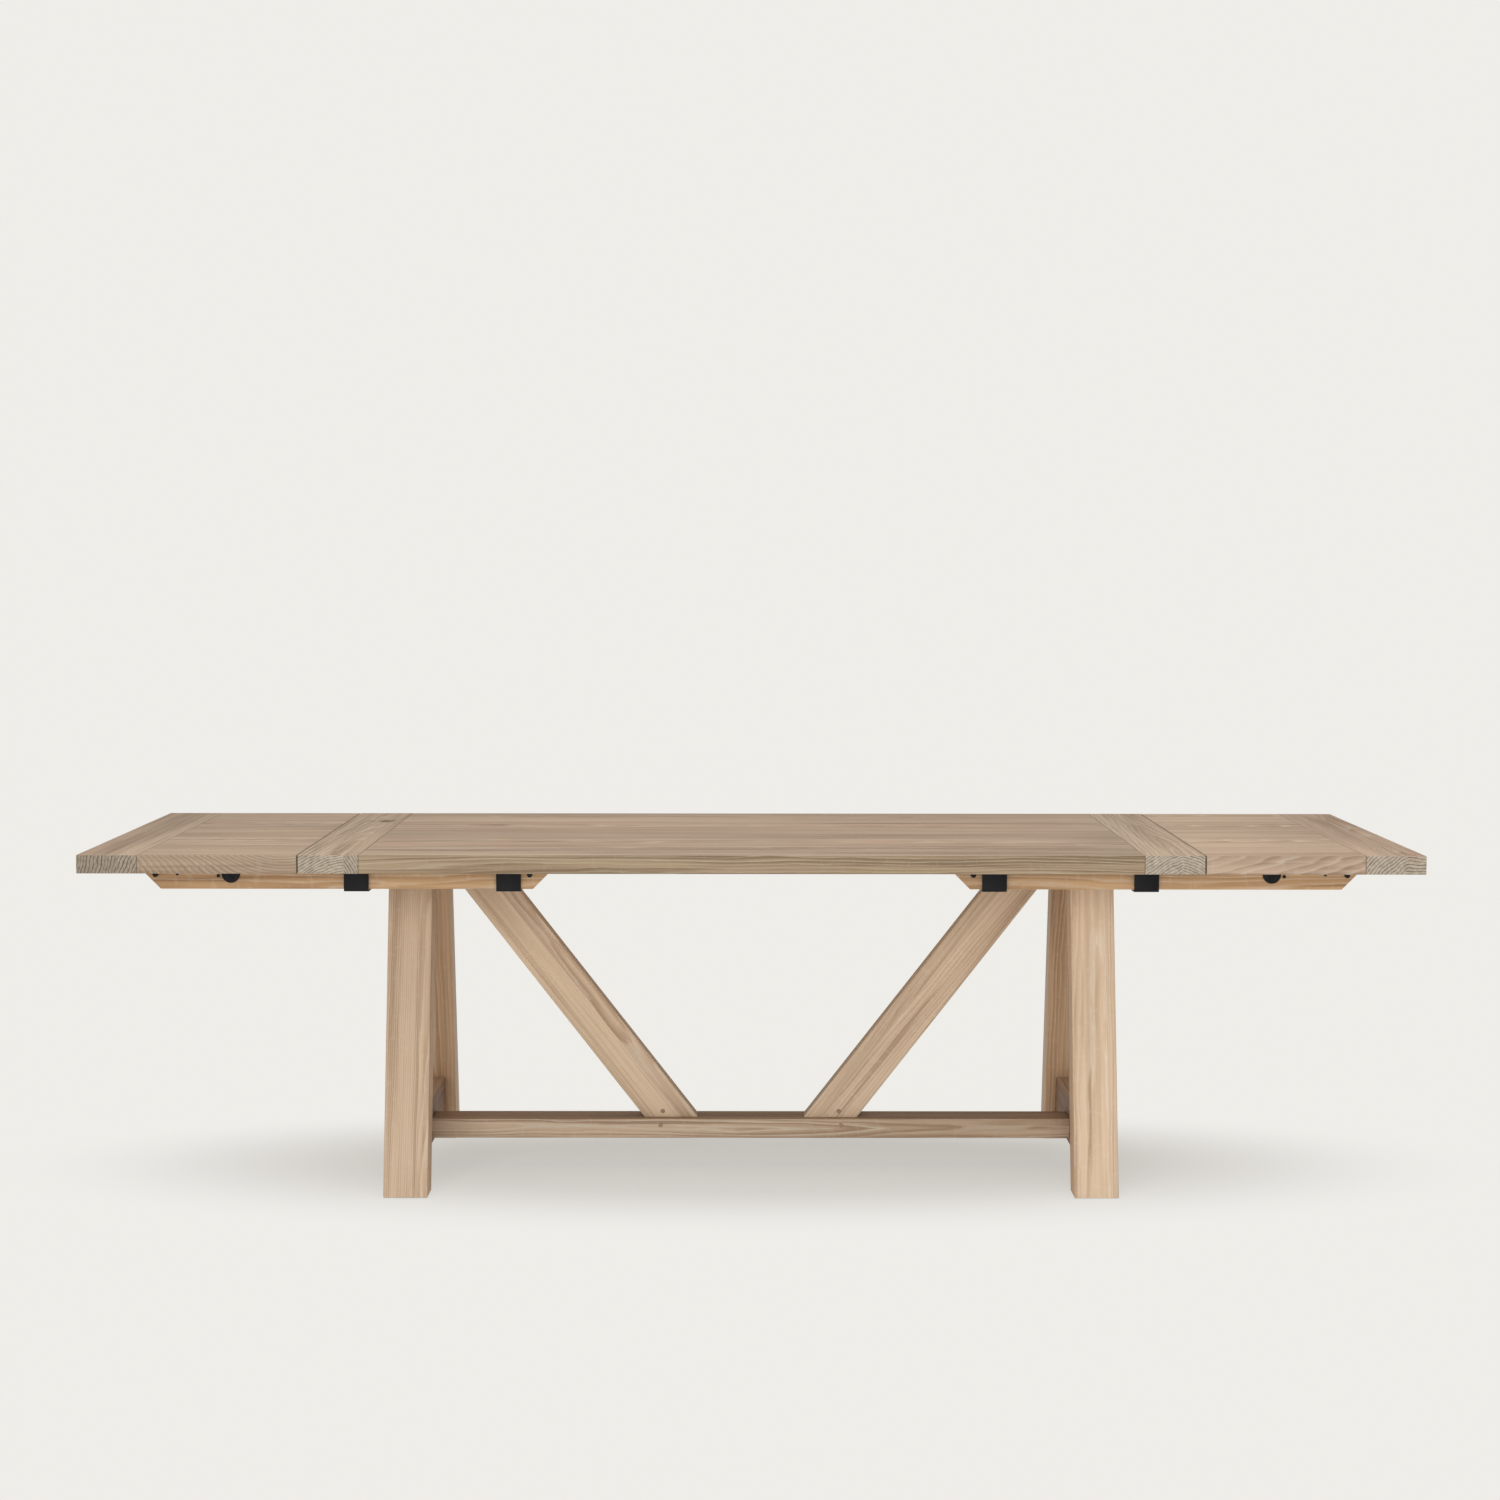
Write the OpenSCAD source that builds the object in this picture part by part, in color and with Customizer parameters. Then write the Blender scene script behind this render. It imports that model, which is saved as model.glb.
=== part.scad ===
// Extendable trestle dining table in pale oak.
// The top has cross-grain end boards. At each end two runners pull out from under the top,
// each through a pair of steel straps, and carry a lift-off leaf held by turning catches.
// The origin is on the floor under the middle of the table, +X along it and +Z up.

/* [Top] */
// Length of the table without its leaves
main_l = 1950; // [1900:10:2300]
// Depth of the top, front to back
top_w = 975; // [960:5:1100]
// Height of the top's upper face above the floor
table_h = 780; // [740:5:800]
// Thickness of the top and of the leaves
top_t = 40; // [36:1:45]
// Length of one leaf
leaf_l = 473; // [440:1:500]
// Gap between a leaf and the main top
leaf_gap = 2; // [1:0.5:3]
// Width of the cross-grain board at an end
end_board_w = 130; // [110:5:140]

/* [Trestle] */
// Width of a leg, measured along the table
leg_w = 98; // [90:1:110]
// Depth of a leg, measured level
leg_d = 76; // [66:1:80]
// Distance from the main top's end in to the leg's outer face
leg_inset = 160; // [150:5:180]
// Distance from the front feet's faces to the rear feet's faces
foot_spread = 706; // [690:2:730]
// Lean of a leg from upright, in degrees
leg_lean = 11.6; // [10.5:0.1:12]
// Height of the bearer under the top
bearer_h = 50; // [44:1:54]
// Length of the bearer, front to back
bearer_l = 644; // [630:2:650]
// Thickness of the low rail between two legs
rail_t = 49; // [40:1:55]
// Height of the low rail
rail_h = 103; // [95:1:110]
// Height of the low rail's underside above the floor
rail_z = 57; // [45:1:65]
// Depth of the long stretcher, front to back
stretcher_d = 92; // [86:1:100]
// Height of the long stretcher
stretcher_h = 45; // [42:1:50]
// Height of the stretcher's underside above the floor
stretcher_z = 72; // [66:1:80]
// Width of a diagonal brace, measured across it
brace_w = 98; // [90:1:102]
// Thickness of a diagonal brace, front to back
brace_t = 49; // [40:1:55]
// Lean of a brace from upright, in degrees
brace_lean = 37.9; // [37:0.1:38.5]

/* [Runners] */
// Length of a runner
runner_l = 877; // [872:1:880]
// Height of a runner
runner_h = 44.5; // [44:0.5:46]
// Thickness of a runner, front to back
runner_t = 45; // [43:1:46]
// Distance from the top's long edge in to the runner's outer face
runner_setback = 97.5; // [95:0.5:99]
// How far a pulled-out runner stands past the main top's end
runner_reach = 347; // [344:1:350]
// Height of the upright nose left above a runner's cut-back end
runner_nose = 12; // [10:1:16]
// Width of a steel strap
strap_w = 54; // [46:1:56]
// Thickness of the strap steel
strap_t = 3; // [2:0.5:3]
// Distance from the main top's end in to the middle of the outer strap
outer_strap_in = 113; // [110:1:118]
// Distance from the main top's end in to the middle of the inner strap
inner_strap_in = 445; // [441:1:449]

/* [Hidden] */
// Circles keep true curves when the model is rebuilt, so a moderate count is enough
$fn = 48;
// Overlap that joins solids and carries cuts right through
lap = 1;
hex_sides = 6;
end_x = main_l / 2;
top_y = top_w / 2;
under_z = table_h - top_t;
tongue_l = 25;
tongue_t = 12;
tongue_stop = 27;
tongue_y = top_y - tongue_stop;

// Widths of the long boards from front to rear, as shares of the top's depth
main_shares = [0.175, 0.19, 0.193, 0.199, 0.133, 0.11];
leaf_shares = [0.195, 0.212, 0.2, 0.19, 0.203];

leg_x = end_x - leg_inset - leg_w / 2;
leg_k = tan(leg_lean);
foot_t = 2.5;
foot_r = 19;
nail_r = 1.8;
nail_l = 15;
bearer_z = under_z - bearer_h;
bearer_cut = 28;
leg_tenon_w = 26;
leg_tenon_l = 34;
leg_shoulder = 10;
rail_tenon_w = 19;
rail_shoulder = 18;
rail_tenon_h = rail_h - 2 * rail_shoulder;
rail_tenon_y = 298;
stretcher_tenon_l = 14;
stretcher_tenon_cut = 8;
rail_in_x = leg_x - rail_t / 2;

brace_k = tan(brace_lean);
brace_half = brace_w / 2 / cos(brace_lean);
brace_head_gap = 46.8;
brace_top_x = leg_x - leg_w / 2 - brace_head_gap;
stretcher_top = stretcher_z + stretcher_h;
brace_foot_x = brace_top_x - brace_k * (under_z - stretcher_top);
brace_tenon_l = 90;
brace_tenon_h = 30;
brace_tenon_t = 20;

peg_r = 5;
peg_proud = 0.6;
foot_peg_x = brace_foot_x + 24.5;
foot_peg_z = stretcher_z + 30;
brace_peg_x = brace_foot_x + 20;
brace_peg_z = stretcher_top + 14;

bolt_r = 4;
bolt_head_r = 6.5;
bolt_head_h = 7;
bolt_head_sunk = 1;
bolt_socket_r = 3;
bolt_socket_depth = 4;
bolt_y = 21;
bolt_z = stretcher_z + stretcher_h / 2;
bolt_l = 100;
bolt_end_gap = 2;
bolt_head_x = rail_in_x + rail_t - bolt_head_h - bolt_head_sunk;
nut_r = 7;
nut_l = 34;
nut_sunk = 3;
nut_end_gap = 0.5;
nut_x = rail_in_x - 38;
bore_gap = 0.2;

screw_r = 3;
screw_head_r = 6;
screw_head_h = 4;
counterbore_r = 7;
counterbore_h = 14;
driver_reach = 40;
top_screw_depth = 22;
top_screw_ys = [90, 285];
bearer_screw_z = bearer_z + counterbore_h - screw_head_h;
brace_screw_x = brace_top_x + 14.8;
brace_screw_y = 12;
brace_screw_z = under_z - 34;

runner_y = top_y - runner_setback;
runner_out_x = end_x + runner_reach;
runner_in_x = runner_out_x - runner_l;
runner_z = under_z - runner_h;
runner_cut = runner_h - runner_nose;
side_gap = 5.5;
glide_t = 2;
glide_gap = 0.3;
glide_lip = 8;
glide_inset = 1;
strap_bend_r = 6;
flange_w = 22;
flange_screw_in = 11;
flange_screw_x = 14;
flange_screw_r = 2.2;
flange_head_r = 4.5;
flange_head_h = 2.5;
flange_screw_l = 21;

catch_x = end_x + 161;
catch_z = under_z - 20;
catch_r = 20;
catch_centre_up = 9;
catch_flat_up = 19.5;
catch_t = 2.5;
catch_lift = 0.3;
catch_bore_r = 3.1;
catch_screw_r = 3;
catch_head_r = 4.5;
catch_head_h = 1.4;
catch_socket_r = 2;
catch_socket_depth = 1;
catch_stop_x = catch_x + 27;
catch_stop_z = under_z - 15.5;
catch_stop_r = 3.5;
catch_stop_out = 4.8;
pocket_in = 20;
pocket_out = 12;
pocket_h = 7;
pocket_y0 = runner_y - 1.5;
pocket_y1 = runner_y + 5;

outer_peg_x = runner_out_x - 22;
inner_peg_x = runner_in_x + 39;
peg_head_z = under_z - 12.5;
peg_head_r = 5.5;
peg_head_out = 9;
peg_shank_r = 3;
peg_shank_in = 24;
leaf_stud_x = runner_out_x - 69;
leaf_stud_z = under_z - 11;
leaf_stud_r = 3.5;
leaf_stud_out = 2.5;

batten_x = end_x + 60;
batten_w = 50;
batten_t = 20;
batten_y = 330;
batten_screw_ys = [-312, -190, 0, 190, 312];
batten_screw_r = 2.2;
batten_head_r = 4.5;
batten_head_h = 3;
batten_screw_depth = 18;

oak = [0.70, 0.61, 0.52];
oak_warm = [0.74, 0.63, 0.50];
oak_runner = [0.69, 0.56, 0.42];
oak_dark = [0.60, 0.50, 0.40];
black_steel = [0.10, 0.10, 0.10];
zinc_steel = [0.62, 0.63, 0.65];
nylon = [0.85, 0.85, 0.82];

// ---- helpers ----

// Everything is drawn for the right rear quarter; sx and sy of -1 mirror it left and front
module placed(sx, sy) {
  mirror([sx < 0 ? 1 : 0, 0, 0])
    mirror([0, sy < 0 ? 1 : 0, 0])
      children();
}

module both_ends() {
  for (sx = [-1, 1]) placed(sx, 1) children();
}

module all_corners() {
  for (sx = [-1, 1], sy = [-1, 1]) placed(sx, sy) children();
}

// A solid given by its low and high corners
module block(low, high) {
  translate(low) cube(high - low);
}

// An outline in Y and Z, run along X
module along_x(x0, x1) {
  translate([x0, 0, 0]) rotate([90, 0, 90]) linear_extrude(x1 - x0) children();
}

// An outline in X and Z, run along Y
module along_y(y0, y1) {
  translate([0, y1, 0]) rotate([90, 0, 0]) linear_extrude(y1 - y0) children();
}

// Round bars along each axis, from their low end
module bar_x(x, y, z, r, l) {
  translate([x, y, z]) rotate([0, 90, 0]) cylinder(r = r, h = l);
}

module bar_y(x, y, z, r, l) {
  translate([x, y, z]) rotate([-90, 0, 0]) cylinder(r = r, h = l);
}

module bar_z(x, y, z, r, l) {
  translate([x, y, z]) cylinder(r = r, h = l);
}

// Sum of the first n shares
function share_sum(shares, n) = n == 0 ? 0 : shares[n - 1] + share_sum(shares, n - 1);

// Where board n starts, counting from the front
function seam_y(shares, n) = -top_y + top_w * share_sum(shares, n);

// Y of a rear leg's outer face at height z
function leg_outer(z) = foot_spread / 2 - leg_k * z;

// ---- top ----

// The tongue that joins long boards to an end board, for the right end
module end_tongue(x0) {
  block([x0, -tongue_y, under_z + (top_t - tongue_t) / 2],
        [x0 + tongue_l, tongue_y, under_z + (top_t + tongue_t) / 2]);
}

module main_board(n) {
  y0 = seam_y(main_shares, n - 1);
  y1 = seam_y(main_shares, n);
  board_x = end_x - end_board_w;
  color(oak) difference() {
    union() {
      block([-board_x, y0, under_z], [board_x, y1, table_h]);
      intersection() {
        both_ends() end_tongue(board_x);
        block([-end_x, y0, under_z], [end_x, y1, table_h]);
      }
    }
    top_screw_holes();
    strap_screw_holes();
  }
}

module main_end_board(sx) {
  color(oak) placed(sx, 1) difference() {
    block([end_x - end_board_w, -top_y, under_z], [end_x, top_y, table_h]);
    end_tongue(end_x - end_board_w);
    strap_screw_holes();
  }
}

module leaf_board(sx, n) {
  y0 = seam_y(leaf_shares, n - 1);
  y1 = seam_y(leaf_shares, n);
  x0 = end_x + leaf_gap;
  x1 = x0 + leaf_l - end_board_w;
  color(oak) placed(sx, 1) difference() {
    union() {
      block([x0, y0, under_z], [x1, y1, table_h]);
      intersection() {
        end_tongue(x1);
        block([x0, y0, under_z], [x1 + end_board_w, y1, table_h]);
      }
    }
    catch_pocket(1);
    catch_pocket(-1);
    batten_screw_holes();
  }
}

module leaf_end_board(sx) {
  x1 = end_x + leaf_gap + leaf_l;
  color(oak) placed(sx, 1) difference() {
    block([x1 - end_board_w, -top_y, under_z], [x1, top_y, table_h]);
    end_tongue(x1 - end_board_w);
  }
}

// Slot in the leaf's underside for the raised corner of a catch
module catch_pocket(sy) {
  placed(1, sy)
    block([catch_x - pocket_in, pocket_y0, under_z - lap],
          [catch_x + pocket_out, pocket_y1, under_z + pocket_h]);
}

module leaf_batten(sx) {
  color(oak_dark) placed(sx, 1) difference() {
    block([batten_x - batten_w / 2, -batten_y, under_z - batten_t],
          [batten_x + batten_w / 2, batten_y, under_z]);
    batten_screw_holes();
  }
}

module batten_screw(gap) {
  bar_z(batten_x, 0, under_z - batten_t - lap, batten_head_r + gap, batten_head_h + lap);
  bar_z(batten_x, 0, under_z - batten_t, batten_screw_r + gap, batten_t + batten_screw_depth);
}

module batten_screw_holes() {
  for (y = batten_screw_ys) translate([0, y, 0]) batten_screw(bore_gap);
}

module leaf_screws(sx) {
  color(zinc_steel) placed(sx, 1)
    for (y = batten_screw_ys) translate([0, y, 0]) intersection() {
      batten_screw(0);
      block([0, -batten_w, under_z - batten_t], [end_x + leaf_l, batten_w, table_h]);
    }
}

// ---- trestle ----

module leg_outline(z0, z1, inset) {
  polygon([
    [leg_outer(z0) - inset, z0],
    [leg_outer(z1) - inset, z1],
    [leg_outer(z1) - leg_d + inset, z1],
    [leg_outer(z0) - leg_d + inset, z0]
  ]);
}

module leg_tenon(h) {
  along_x(leg_x - leg_tenon_w / 2, leg_x + leg_tenon_w / 2)
    leg_outline(bearer_z - lap, bearer_z + h, leg_shoulder);
}

module leg(sx, sy) {
  color(oak_warm) placed(sx, sy) difference() {
    union() {
      along_x(leg_x - leg_w / 2, leg_x + leg_w / 2) leg_outline(foot_t, bearer_z, 0);
      leg_tenon(leg_tenon_l);
    }
    rail_tenons();
    foot_glide(bore_gap);
  }
}

module bearer(sx) {
  half = bearer_l / 2;
  color(oak_dark) placed(sx, 1) difference() {
    along_x(leg_x - leg_w / 2, leg_x + leg_w / 2)
      polygon([
        [-half, under_z], [-half, under_z - bearer_h + bearer_cut], [-half + bearer_cut, bearer_z],
        [half - bearer_cut, bearer_z], [half, under_z - bearer_h + bearer_cut], [half, under_z]
      ]);
    leg_tenon(leg_tenon_l + lap);
    mirror([0, 1, 0]) leg_tenon(leg_tenon_l + lap);
    top_screw_holes();
  }
}

module rail_tenons() {
  z0 = rail_z + rail_shoulder;
  block([leg_x - rail_tenon_w / 2, -rail_tenon_y, z0],
        [leg_x + rail_tenon_w / 2, rail_tenon_y, z0 + rail_tenon_h]);
}

module low_rail(sx) {
  z1 = rail_z + rail_h;
  low_y = leg_outer(rail_z) - leg_d;
  high_y = leg_outer(z1) - leg_d;
  color(oak_warm) placed(sx, 1) difference() {
    union() {
      along_x(leg_x - rail_t / 2, leg_x + rail_t / 2)
        polygon([[-low_y, rail_z], [-high_y, z1], [high_y, z1], [low_y, rail_z]]);
      rail_tenons();
    }
    stretcher_tenon();
    stretcher_bolt_holes();
  }
}

module stretcher_tenon() {
  block([rail_in_x - lap, -stretcher_d / 2 + stretcher_tenon_cut, stretcher_z + stretcher_tenon_cut],
        [rail_in_x + stretcher_tenon_l, stretcher_d / 2 - stretcher_tenon_cut,
         stretcher_top - stretcher_tenon_cut]);
}

module stretcher() {
  color(oak_warm) difference() {
    union() {
      block([-rail_in_x, -stretcher_d / 2, stretcher_z],
            [rail_in_x, stretcher_d / 2, stretcher_top]);
      both_ends() stretcher_tenon();
    }
    both_ends() brace_tenon(lap);
    both_ends() stretcher_bolt_holes();
    both_ends() barrel_nut_holes();
    both_ends() foot_peg(bore_gap);
  }
}

// Loose-fitting depth is only added at the blind end of the mortise
module brace_tenon(extra) {
  block([brace_foot_x - brace_tenon_l / 2, -brace_tenon_t / 2, stretcher_top - brace_tenon_h - extra],
        [brace_foot_x + brace_tenon_l / 2, brace_tenon_t / 2, stretcher_top + lap]);
}

module brace(sx) {
  cut_x = leg_x - leg_w / 2;
  cut_z = stretcher_top + (cut_x - brace_foot_x - brace_half) / brace_k;
  color(oak_warm) placed(sx, 1) difference() {
    union() {
      along_y(-brace_t / 2, brace_t / 2)
        polygon([
          [brace_foot_x - brace_half, stretcher_top], [brace_foot_x + brace_half, stretcher_top],
          [cut_x, cut_z], [cut_x, under_z], [brace_top_x - brace_half, under_z]
        ]);
      brace_tenon(0);
    }
    foot_peg(bore_gap);
    brace_peg(bore_gap);
    brace_screw_holes();
  }
}

module foot_peg(gap) {
  reach = stretcher_d / 2 + (gap > 0 ? lap : peg_proud);
  bar_y(foot_peg_x, -reach, foot_peg_z, peg_r + gap, 2 * reach);
}

module brace_peg(gap) {
  reach = brace_t / 2 + (gap > 0 ? lap : peg_proud);
  bar_y(brace_peg_x, -reach, brace_peg_z, peg_r + gap, 2 * reach);
}

module oak_pegs() {
  color(oak_dark) both_ends() {
    foot_peg(0);
    brace_peg(0);
  }
}

// ---- trestle fastenings ----

module stretcher_bolt(y) {
  difference() {
    union() {
      bar_x(bolt_head_x, y, bolt_z, bolt_head_r, bolt_head_h);
      bar_x(bolt_head_x - bolt_l, y, bolt_z, bolt_r, bolt_l + lap);
    }
    translate([bolt_head_x + bolt_head_h - bolt_socket_depth, y, bolt_z]) rotate([0, 90, 0])
      cylinder(r = bolt_socket_r, h = bolt_socket_depth + lap, $fn = hex_sides);
  }
}

module stretcher_bolt_holes() {
  for (sy = [-1, 1]) {
    bar_x(bolt_head_x, sy * bolt_y, bolt_z, bolt_head_r + bore_gap, bolt_head_h + bolt_head_sunk + lap);
    bar_x(bolt_head_x - bolt_l - bolt_end_gap, sy * bolt_y, bolt_z, bolt_r + bore_gap,
          bolt_l + bolt_end_gap + lap);
  }
}

module stretcher_bolts() {
  color(black_steel) both_ends() {
    stretcher_bolt(-bolt_y);
    stretcher_bolt(bolt_y);
  }
}

// Cross dowels with a bore that the bolts run into
module barrel_nuts() {
  color(zinc_steel) both_ends() for (sy = [-1, 1]) difference() {
    bar_z(nut_x, sy * bolt_y, stretcher_z + nut_sunk, nut_r, nut_l);
    stretcher_bolt_holes();
  }
}

module barrel_nut_holes() {
  for (sy = [-1, 1])
    bar_z(nut_x, sy * bolt_y, stretcher_z - lap, nut_r + bore_gap,
          nut_l + nut_sunk + nut_end_gap + lap);
}

// One upward wood screw, its head at z
module wood_screw(x, y, z) {
  bar_z(x, y, z, screw_head_r, screw_head_h);
  bar_z(x, y, z + screw_head_h - lap, screw_r, under_z + top_screw_depth - z - screw_head_h + lap);
}

module screw_hole(x, y, z) {
  below = counterbore_h + driver_reach;
  bar_z(x, y, z - below, counterbore_r, below + screw_head_h);
  bar_z(x, y, z, screw_r + bore_gap, under_z + top_screw_depth + lap - z);
}

module top_screw_holes() {
  for (sx = [-1, 1], sy = [-1, 1], y = top_screw_ys)
    placed(sx, sy) screw_hole(leg_x, y, bearer_screw_z);
  for (sx = [-1, 1]) placed(sx, 1) brace_screw_holes();
}

module top_screws() {
  color(zinc_steel) all_corners() for (y = top_screw_ys)
    wood_screw(leg_x, y, bearer_screw_z);
}

module brace_screw_holes() {
  for (sy = [-1, 1]) screw_hole(brace_screw_x, sy * brace_screw_y, brace_screw_z);
}

module brace_screws() {
  color(zinc_steel) all_corners() wood_screw(brace_screw_x, brace_screw_y, brace_screw_z);
}

// A nailed pad under one foot
module foot_glide(gap) {
  y = (leg_outer(0) + leg_outer(0) - leg_d) / 2;
  bar_z(leg_x, y, 0, foot_r, foot_t);
  bar_z(leg_x, y, foot_t - lap, nail_r + gap, nail_l + gap + lap);
}

module foot_glides() {
  color(nylon) all_corners() foot_glide(0);
}

// ---- runners and their straps ----

module runner(sx, sy) {
  color(oak_runner) placed(sx, sy) difference() {
    along_y(runner_y - runner_t, runner_y)
      polygon([
        [runner_in_x, under_z], [runner_in_x, under_z - runner_nose],
        [runner_in_x + runner_cut, runner_z], [runner_out_x - runner_cut, runner_z],
        [runner_out_x, under_z - runner_nose], [runner_out_x, under_z]
      ]);
    runner_bore(outer_peg_x, peg_head_z, peg_shank_r);
    runner_bore(inner_peg_x, peg_head_z, peg_shank_r);
    runner_bore(leaf_stud_x, leaf_stud_z, peg_shank_r);
    runner_bore(catch_x, catch_z, catch_screw_r);
    runner_bore(catch_stop_x, catch_stop_z, peg_shank_r / 2);
  }
}

// A blind hole from the runner's outer face
module runner_bore(x, z, r) {
  bar_y(x, runner_y - peg_shank_in, z, r + bore_gap, peg_shank_in + lap);
}

// A headed pin driven in from the runner's outer face
module runner_pin(x, z, shank_r, head_r, out) {
  bar_y(x, runner_y - peg_shank_in + lap, z, shank_r, peg_shank_in);
  bar_y(x, runner_y, z, head_r, out);
}

module catch_screw() {
  head_y = runner_y + 2 * catch_lift + catch_t;
  difference() {
    union() {
      bar_y(catch_x, runner_y - peg_shank_in + lap, catch_z, catch_screw_r,
            peg_shank_in + head_y - runner_y);
      bar_y(catch_x, head_y, catch_z, catch_head_r, catch_head_h);
    }
    translate([catch_x, head_y + catch_head_h - catch_socket_depth, catch_z]) rotate([-90, 0, 0])
      cylinder(r = catch_socket_r, h = catch_socket_depth + lap, $fn = hex_sides);
  }
}

module runner_fittings(sx, sy) {
  color(black_steel) placed(sx, sy) {
    runner_pin(outer_peg_x, peg_head_z, peg_shank_r, peg_head_r, peg_head_out);
    runner_pin(inner_peg_x, peg_head_z, peg_shank_r, peg_head_r, peg_head_out);
    runner_pin(leaf_stud_x, leaf_stud_z, peg_shank_r, leaf_stud_r, leaf_stud_out);
    runner_pin(catch_stop_x, catch_stop_z, peg_shank_r / 2, catch_stop_r, catch_stop_out);
    catch_screw();
  }
}

// A round plate with its top cut flat, which lifts a corner when it turns on its screw
module catch(sx, sy) {
  y0 = runner_y + catch_lift;
  color(black_steel) placed(sx, sy) difference() {
    bar_y(catch_x, y0, catch_z + catch_centre_up, catch_r, catch_t);
    block([catch_x - catch_r - lap, y0 - lap, catch_z + catch_flat_up],
          [catch_x + catch_r + lap, y0 + catch_t + lap, catch_z + catch_flat_up + catch_r]);
    bar_y(catch_x, y0 - lap, catch_z, catch_bore_r, catch_t + 2 * lap);
  }
}

// Square-topped section with two round lower corners, in Y and Z
module tray_outline(y0, y1, z0, z1, r) {
  translate([y0, z0 + r]) square([y1 - y0, z1 - z0 - r]);
  translate([y0 + r, z0]) square([y1 - y0 - 2 * r, z1 - z0]);
  for (y = [y0 + r, y1 - r]) translate([y, z0 + r]) circle(r);
}

module strap_outline() {
  y0 = runner_y - runner_t - side_gap;
  y1 = runner_y + side_gap;
  z0 = runner_z - glide_t;
  difference() {
    union() {
      tray_outline(y0 - strap_t, y1 + strap_t, z0 - strap_t, under_z, strap_bend_r);
      translate([y0 - strap_t - flange_w, under_z - strap_t])
        square([y1 - y0 + 2 * strap_t + 2 * flange_w, strap_t]);
    }
    tray_outline(y0, y1, z0, under_z + lap, strap_bend_r - strap_t);
  }
}

module at_straps() {
  for (strap_in = [outer_strap_in, inner_strap_in])
    translate([end_x - strap_in, 0, 0]) children();
}

module straps(sx, sy) {
  color(black_steel) placed(sx, sy) at_straps() difference() {
    along_x(-strap_w / 2, strap_w / 2) strap_outline();
    flange_screw_places() bar_z(0, 0, under_z - strap_t - lap, flange_screw_r + bore_gap, strap_t + 2 * lap);
  }
}

module flange_screw_places() {
  y_out = runner_y + side_gap + strap_t + flange_screw_in;
  y_in = runner_y - runner_t - side_gap - strap_t - flange_screw_in;
  for (x = [-flange_screw_x, flange_screw_x], y = [y_in, y_out])
    translate([x, y, 0]) children();
}

module strap_screw_holes() {
  all_corners() at_straps() flange_screw_places()
    bar_z(0, 0, under_z - lap, flange_screw_r + bore_gap, flange_screw_l + lap);
}

module strap_screws() {
  color(black_steel) all_corners() at_straps() flange_screw_places() {
    bar_z(0, 0, under_z - strap_t - flange_head_h, flange_head_r, flange_head_h);
    bar_z(0, 0, under_z - strap_t - lap, flange_screw_r, strap_t + flange_screw_l);
  }
}

// A plastic tray in each strap that the runner slides on, with a lip up each side
module strap_glides() {
  y0 = runner_y - runner_t - side_gap;
  y1 = runner_y + side_gap;
  z0 = runner_z - glide_t;
  color(nylon) all_corners() at_straps() difference() {
    along_x(-strap_w / 2 + glide_inset, strap_w / 2 - glide_inset)
      tray_outline(y0, y1, z0, runner_z + glide_lip, strap_bend_r - strap_t);
    block([-strap_w, runner_y - runner_t - glide_gap, runner_z],
          [strap_w, runner_y + glide_gap, under_z]);
  }
}

// ---- nodes ----

main_board(1);  // main_board_1
main_board(2);  // main_board_2
main_board(3);  // main_board_3
main_board(4);  // main_board_4
main_board(5);  // main_board_5
main_board(6);  // main_board_6
main_end_board(-1);  // left_main_end_board
main_end_board(1);  // right_main_end_board
leaf_board(-1, 1);  // left_leaf_board_1
leaf_board(-1, 2);  // left_leaf_board_2
leaf_board(-1, 3);  // left_leaf_board_3
leaf_board(-1, 4);  // left_leaf_board_4
leaf_board(-1, 5);  // left_leaf_board_5
leaf_board(1, 1);  // right_leaf_board_1
leaf_board(1, 2);  // right_leaf_board_2
leaf_board(1, 3);  // right_leaf_board_3
leaf_board(1, 4);  // right_leaf_board_4
leaf_board(1, 5);  // right_leaf_board_5
leaf_end_board(-1);  // left_leaf_end_board
leaf_end_board(1);  // right_leaf_end_board
leaf_batten(-1);  // left_leaf_batten
leaf_batten(1);  // right_leaf_batten
leaf_screws(-1);  // left_leaf_screws
leaf_screws(1);  // right_leaf_screws
leg(-1, -1);  // front_left_leg
leg(1, -1);  // front_right_leg
leg(-1, 1);  // rear_left_leg
leg(1, 1);  // rear_right_leg
bearer(-1);  // left_bearer
bearer(1);  // right_bearer
low_rail(-1);  // left_low_rail
low_rail(1);  // right_low_rail
stretcher();
brace(-1);  // left_brace
brace(1);  // right_brace
oak_pegs();
stretcher_bolts();
barrel_nuts();
brace_screws();
top_screws();
foot_glides();
runner(-1, -1);  // front_left_runner
runner(1, -1);  // front_right_runner
runner(-1, 1);  // rear_left_runner
runner(1, 1);  // rear_right_runner
straps(-1, -1);  // front_left_straps
straps(1, -1);  // front_right_straps
straps(-1, 1);  // rear_left_straps
straps(1, 1);  // rear_right_straps
strap_glides();
strap_screws();
catch(-1, -1);  // front_left_catch
catch(1, -1);  // front_right_catch
catch(-1, 1);  // rear_left_catch
catch(1, 1);  // rear_right_catch
runner_fittings(-1, -1);  // front_left_runner_fittings
runner_fittings(1, -1);  // front_right_runner_fittings
runner_fittings(-1, 1);  // rear_left_runner_fittings
runner_fittings(1, 1);  // rear_right_runner_fittings
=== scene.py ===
import math
import bpy
from mathutils import Matrix, Vector


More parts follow.
